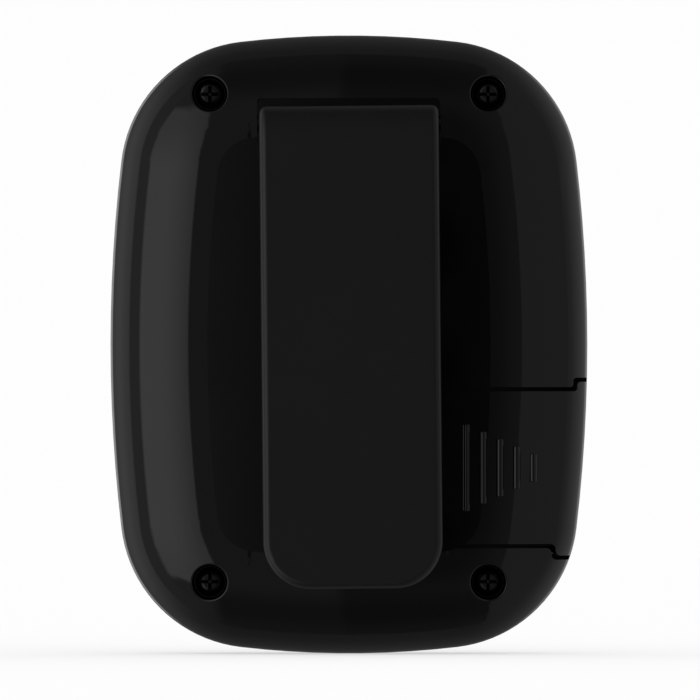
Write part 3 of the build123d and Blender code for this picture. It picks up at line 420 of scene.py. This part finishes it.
def display(made):
    """What the display shows: two times, the side to move, and the faint bars that are off."""
    low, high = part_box("lcd_front_polariser")
    centre_z = (low.z + high.z) / 2
    z = centre_z - DIGIT_H / 2 - TIME_DROP
    flag_z = z + DIGIT_H + FLAG_RISE
    lit, faint = [], []
    for side in (-1, 1):
        middle = side * TIME_X
        x = middle - (3 * DIGIT_PITCH + COLON_W) / 2 + TIME_SHIFT
        for sign in TIME:
            if sign == ":":
                lit += [disc(x - COLON_BACK + SLANT * up, z + up, COLON_R) for up in COLON_HEIGHTS]
                x += COLON_W
                continue
            for letter, shape in segment_shapes(x, z).items():
                (lit if letter in SEGMENTS_OF[sign] else faint).append(shape)
            x += DIGIT_PITCH
        # A flag over the time: solid for the side to move, off for the other
        top = flag_z + FLAG_HEIGHT
        flag = [(middle - FLAG_HALF_X, top), (middle + FLAG_HALF_X, top), (middle, flag_z)]
        (lit if side < 0 else faint).append(flag)
    # A line between the times
    lit.append(rectangle(-LINE_HALF_X, LINE_HALF_X, centre_z - LINE_HALF_Z, centre_z + LINE_HALF_Z))
    # The grey-green ground that the signs stand on
    ground = [rectangle(low.x, high.x, low.z, high.z)]
    y = low.y - SIGN_BACK
    for name, shapes, front_y, back_y, ink in (
        ("display_signs", lit, y - LIT_THICK, y, "lcd_ink"),
        ("display_signs_off", faint, y - FAINT_THICK, y, "lcd_ghost"),
        ("display_reflector", ground, low.y - GROUND_FRONT, low.y - GROUND_BACK, "lcd_reflector"),
    ):
        piece(name, prism_mesh(name, shapes, front_y, back_y), made[ink], "case")


def lens_border(made):
    """The black print round the window, on the back of the lens."""
    low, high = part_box("display_lens")
    tape_low, tape_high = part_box("lens_adhesive")
    outer = rounded(tape_low.x, tape_high.x, tape_low.z, tape_high.z, BORDER_OUTER_R)
    inner = rounded(low.x + BORDER_SIDE, high.x - BORDER_SIDE, low.z + BORDER_END, high.z - BORDER_END,
                    BORDER_INNER_R)
    mesh = plate_with_holes("lens_border", [outer, inner], high.y - BORDER_FRONT, high.y - BORDER_BACK)
    piece("lens_border", mesh, made["lens_print"], "case")


# ---- Signs printed on the keys -----------------------------------------------------------------

PRINT_PROUD, PRINT_SUNK = 0.02 * MM, 0.01 * MM
PAWN_HEIGHT = 6.4 * MM
# In millimetres from the key's centre
MENU_BARS = [rectangle(-1.3, 1.3, up - 0.17, up + 0.17) for up in (-0.75, 0.0, 0.75)]
PLAY_AND_PAUSE = [[(-1.7, -0.95), (-0.1, 0.0), (-1.7, 0.95)], rectangle(0.35, 0.75, -0.95, 0.95),
                  rectangle(1.15, 1.55, -0.95, 0.95)]
CLOCK_HANDS = [[(-0.13, -0.13), (0.6, -0.13), (0.6, 0.13), (0.13, 0.13), (0.13, 0.72), (-0.13, 0.72)]]
DIAL_R, DIAL_LINE, DIAL_SIDES = 1.2 * MM, 0.25 * MM, 28
# Ink and shapes by key; a player's key has no shapes of its own and gets a pawn
SIGNS = {
    "player_key_left": ("print_dark", None),
    "player_key_right": ("print_light", None),
    "mode_key": ("print_light", MENU_BARS),
    "start_key": ("print_light", PLAY_AND_PAUSE),
    "set_key": ("print_light", CLOCK_HANDS),
}


def key_prints(made):
    """The signs printed on the keys, raised by the thickness of the ink."""
    for name, (ink_name, shapes) in SIGNS.items():
        ink = made[ink_name]
        low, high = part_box(name)
        x, z = (low.x + high.x) / 2, (low.z + high.z) / 2
        depths = (low.y - PRINT_PROUD, low.y + PRINT_SUNK)
        outlines = [placed(shape, x, z) for shape in shapes] if shapes else [pawn(x, z, PAWN_HEIGHT)]
        piece(name + "_print", prism_mesh(name + "_print", outlines, *depths), ink, name)
        if name == "set_key":
            dial = [disc(x, z, radius, DIAL_SIDES) for radius in (DIAL_R, DIAL_R - DIAL_LINE)]
            piece("set_key_dial", plate_with_holes("set_key_dial", dial, *depths), ink, name)


# ---- Soft parts: the keypad, whose plungers ride on their keys, and the spring -----------------

MAT_THICK, MAT_CORNER_R, TAB_HALF_X, TAB_TOP_Z = 0.8 * MM, 2.0 * MM, 14.2 * MM, 18.2 * MM
DOME_WALL, DOME_SLOPE = 0.7 * MM, 0.45
PILL_SHARE, PLUNGER_SHARE = 0.38, 0.4  # of the dome's radius


def keypad(made):
    """The rubber keypad: a mat, a dome under each key, and a plunger that rides on its key."""
    slot = SLOTS["rubber_keypad"]
    rubber = made[slot]
    low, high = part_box("rubber_keypad")
    mat_y = high.y - MAT_THICK
    rise = mat_y - low.y
    holes = []
    for key in KEY_NAMES:
        pill_low, pill_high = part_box(key.replace("key", "pill"))
        x, z = (pill_low.x + pill_high.x) / 2, (pill_low.z + pill_high.z) / 2
        radius = (pill_high.x - pill_low.x) / 2 / PILL_SHARE
        within = radius - DOME_WALL
        holes.append(disc(x, z, within, LATHE_SIDES))
        ceiling = low.y + DOME_WALL
        profile = [(0, low.y), (radius - DOME_SLOPE * rise, low.y), (radius, mat_y), (within, mat_y),
                   (within - DOME_SLOPE * (rise - DOME_WALL), ceiling), (0, ceiling)]
        dome = piece(key + "_dome", lathe(key + "_dome", profile, x, z), rubber, "case")
        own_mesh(dome)
        top, reach = low.y + DOME_WALL / 2, radius * PLUNGER_SHARE
        profile = [(0, top), (reach, top), (reach, pill_low.y), (0, pill_low.y)]
        piece(key + "_plunger", lathe(key + "_plunger", profile, x, z), rubber, key)
    upper = rounded(low.x, high.x, TAB_TOP_Z, high.z, MAT_CORNER_R)
    tab = [(-TAB_HALF_X, TAB_TOP_Z), (-TAB_HALF_X, low.z), (TAB_HALF_X, low.z), (TAB_HALF_X, TAB_TOP_Z)]
    mesh = plate_with_holes("keypad_mat", [upper + tab] + holes, mat_y, high.y)
    mat = piece("keypad_mat", mesh, rubber, "case")
    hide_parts("rubber_keypad")


def hinge_spring():
    """The torsion spring, as a fixed copy of the CAD spring in its place."""
    made = linked("hinge_spring", frame["nodes"]["clip_spring"].data.copy())
    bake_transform(made)
    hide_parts("clip_spring")


# ---- The studio that mirrors see ---------------------------------------------------------------

# Smooth steps, each from, to, the level before and the level after, which are 0 and 1 where left out.
# Angles are in degrees: away from the +Y pole, right of it towards +X and up from it towards +Z.
# Across and steep are how much of the turn away from the pole is along X and along Z, up to 1.
ROOM_STEEP, ROOM_AWAY = (0.8, 1.0, 0.27, 0.2), (105, 150, 1.0, 0.6)
ROOM_SIDE_ACROSS, ROOM_SIDE_AWAY = (-0.95, -0.5, 0.14, 0.0), (65, 100)
# The dark column on the camera's side, and the dim light in it
COLUMN_HEIGHT, COLUMN_START, COLUMN_END = (54, 82, 1.0, 0.0), (-28.0, -26.0), (16, 26, 1.0, 0.0)
DUSK_LEFT, DUSK_RIGHT = (-28, -0.4, 0.15, 0.08), (0.2, 0.5, 0.0, 0.11)
DUSK_HIGH, DUSK_FADE = (15, 35, 0.0, 0.065), (15, 50, 1.0, 0.25)
# Two darker patches in it: their start and end to the right, and where they end in height
DARK_LEVEL = -0.08
DARK_PATCHES = (
    ((-0.43, -0.31), (-0.15, 0.2, 1.0, 0.0), (0.65, 0.75, 1.0, 0.0)),
    ((-1.3, -1.0), (-0.56, -0.5, 1.0, 0.0), (0.75, 1.5, 1.0, 0.0)),
)
# The big softbox on the +X side, its edge towards the camera a little tilted
BOX_LEAN, BOX_TOP_LEAN = 0.11, 0.3
BOX_NEAR, BOX_FAR = (15.8, 17.8), (59, 62, 1.0, 0.0)
BOX_TOP, BOX_FOOT = (22, 28, 1.0, 0.0), (-39, -34)
BOX_ACROSS, BOX_UPPER, BOX_LOWER = (17, 42, 0.42, 0.7), (0, 32, 1.0, 0.62), (-38, -8, 0.82, 1.0)
# The lit wall behind it
WALL_ACROSS, WALL_START = (0.45, 1.05, 0.0, 0.46), (59, 63)
WALL_RISE, WALL_FALL = (70, 82, 0.22, 1.0), (95, 142, 1.0, 0.1)
# A softbox behind the clock, which lights the front's crown: degrees from the -Y pole, then across
FRONT_SIDE, FRONT_REACH = (15, 18), (34, 38, 1.0, 0.0)
FRONT_HEIGHT, FRONT_ACROSS = (22, 27, 1.0, 0.0), (-1, 1, 0.2, 0.6)
HALF_TURN, NEAR_POLE = 180.0, 0.001


def room_and_column(t, away, across, upward, right, height):
    """The pale room all round, and the dark column on the camera's side."""
    steep = t.math("ABSOLUTE", upward)
    room = t.total(t.product(t.ramp(steep, *ROOM_STEEP), t.ramp(away, *ROOM_AWAY)),
                   t.product(t.ramp(across, *ROOM_SIDE_ACROSS), t.ramp(away, *ROOM_SIDE_AWAY)))
    column = t.product(t.ramp(height, *COLUMN_HEIGHT), t.ramp(right, *COLUMN_START),
                       t.ramp(right, *COLUMN_END))
    level = t.total(t.ramp(right, *DUSK_LEFT), t.ramp(right, *DUSK_RIGHT))
    dusk = t.total(t.ramp(height, *DUSK_HIGH), t.product(level, t.ramp(height, *DUSK_FADE)))
    for start, end, top in DARK_PATCHES:
        patch = t.product(DARK_LEVEL, t.ramp(right, *start), t.ramp(right, *end), t.ramp(height, *top))
        dusk = t.total(dusk, patch)
    return t.total(t.product(room, t.math("SUBTRACT", 1.0, column)), t.product(dusk, column))


def softbox(t, away, right, up):
    """The big softbox on the +X side."""
    near = t.math("SUBTRACT", right, t.product(up, BOX_LEAN))
    top = t.math("SUBTRACT", up, t.product(right, BOX_TOP_LEAN))
    return t.product(t.ramp(near, *BOX_NEAR), t.ramp(away, *BOX_FAR), t.ramp(top, *BOX_TOP),
                     t.ramp(up, *BOX_FOOT), t.ramp(right, *BOX_ACROSS), t.ramp(up, *BOX_UPPER),
                     t.ramp(up, *BOX_LOWER))


def lit_wall(t, away, across):
    """The wall behind the big softbox."""
    return t.product(t.ramp(across, *WALL_ACROSS), t.ramp(away, *WALL_START), t.ramp(away, *WALL_RISE),
                     t.ramp(away, *WALL_FALL))


def front_softbox(t, away, across, upward):
    """The softbox behind the clock."""
    behind = t.math("SUBTRACT", HALF_TURN, away)
    side = t.math("ABSOLUTE", t.product(behind, across))
    height = t.math("ABSOLUTE", t.product(behind, upward))
    return t.product(t.ramp(side, *FRONT_SIDE), t.ramp(behind, *FRONT_REACH), t.ramp(height, *FRONT_HEIGHT),
                     t.ramp(across, *FRONT_ACROSS))


def reflected_studio(t):
    """The light that mirrors see: panels placed by angle from the camera's side of the studio."""
    way = t.add("ShaderNodeTexCoord").outputs["Generated"]
    x, y, z = t.add("ShaderNodeSeparateXYZ", Vector=way).outputs
    flat = t.math("SQRT", t.total(t.product(x, x), t.product(z, z)))
    reach = t.math("MAXIMUM", flat, NEAR_POLE)
    away = t.product(t.math("ARCCOSINE", y), HALF_TURN / math.pi)
    across, upward = t.math("DIVIDE", x, reach), t.math("DIVIDE", z, reach)
    right, up = t.product(away, across), t.product(away, upward)
    around = room_and_column(t, away, across, upward, right, t.math("ABSOLUTE", up))
    return t.total(around, softbox(t, away, right, up), lit_wall(t, away, across),
                   front_softbox(t, away, across, upward))


# ---- Stage, light and camera -------------------------------------------------------------------

WHITE = (0.985, 0.985, 0.985)
FLOOR_RADIUS, FLOOR_SIDES, FLOOR_GLOW = 1.2, 96, 0.55
VIEW_WIDTH, AIM = 92.7 * MM, (-0.14 * MM, 0, 40.21 * MM)
CAMERA_DISTANCE, SENSOR_WIDTH, FAR_CLIP = 2.5, 36, 20


def world_light():
    """White for the camera, an even white dome for soft light, and the studio for reflections."""
    world = bpy.data.worlds.new("studio")
    bpy.context.scene.world = world
    world.use_nodes = True
    world.cycles.sampling_method = "NONE"
    t = Tree(world.node_tree)
    path = t.add("ShaderNodeLightPath").outputs
    even = t.add("ShaderNodeBackground", Color=rgba((1, 1, 1)), Strength=1.0)
    seen = t.add("ShaderNodeBackground", Color=rgba((1, 1, 1)), Strength=WHITE[0])
    mirrored = t.add("ShaderNodeBackground", Color=rgba((1, 1, 1)), Strength=reflected_studio(t))
    light = even.outputs[0]
    for kind, other in (("Is Glossy Ray", mirrored), ("Is Camera Ray", seen)):
        light = t.add("ShaderNodeMixShader", i0=path[kind], i1=light, i2=other.outputs[0]).outputs[0]
    t.add("ShaderNodeOutputWorld", Surface=light)


def floor():
    """A pale floor that glows a little, so that the shade on it stays soft; mirrors look through it."""
    bm = bmesh.new()
    bmesh.ops.create_circle(bm, cap_ends=True, radius=FLOOR_RADIUS, segments=FLOOR_SIDES)
    mesh = bpy.data.meshes.new("floor")
    bm.to_mesh(mesh)
    bm.free()
    made = linked("floor", mesh)
    made.visible_glossy = False
    material = bpy.data.materials.new("floor_white")
    material.use_nodes = True
    t = Tree(material.node_tree)
    matt = t.add("ShaderNodeBsdfDiffuse", Color=rgba(WHITE))
    glow = t.add("ShaderNodeEmission", Color=rgba(WHITE), Strength=1.0)
    mixed = t.add("ShaderNodeMixShader", i0=FLOOR_GLOW, i1=matt.outputs[0], i2=glow.outputs[0])
    t.add("ShaderNodeOutputMaterial", Surface=mixed.outputs[0])
    mesh.materials.append(material)


def camera():
    """A long lens straight at the back of the case."""
    data = bpy.data.cameras.new("camera")
    data.sensor_width = SENSOR_WIDTH
    data.lens = SENSOR_WIDTH * CAMERA_DISTANCE / VIEW_WIDTH
    data.clip_end = FAR_CLIP
    made = linked("camera", data)
    place = Matrix.Translation(Vector(AIM) + Vector((0, CAMERA_DISTANCE, 0)))
    made.matrix_world = place @ Matrix.Rotation(math.pi, 4, "Z") @ Matrix.Rotation(math.pi / 2, 4, "X")
    bpy.context.scene.camera = made


bpy.context.scene.view_settings.view_transform = "Standard"
camera()
world_light()
floor()
library = materials()
dress_nodes(library)
display(library)
lens_border(library)
key_prints(library)
keypad(library)
hinge_spring()
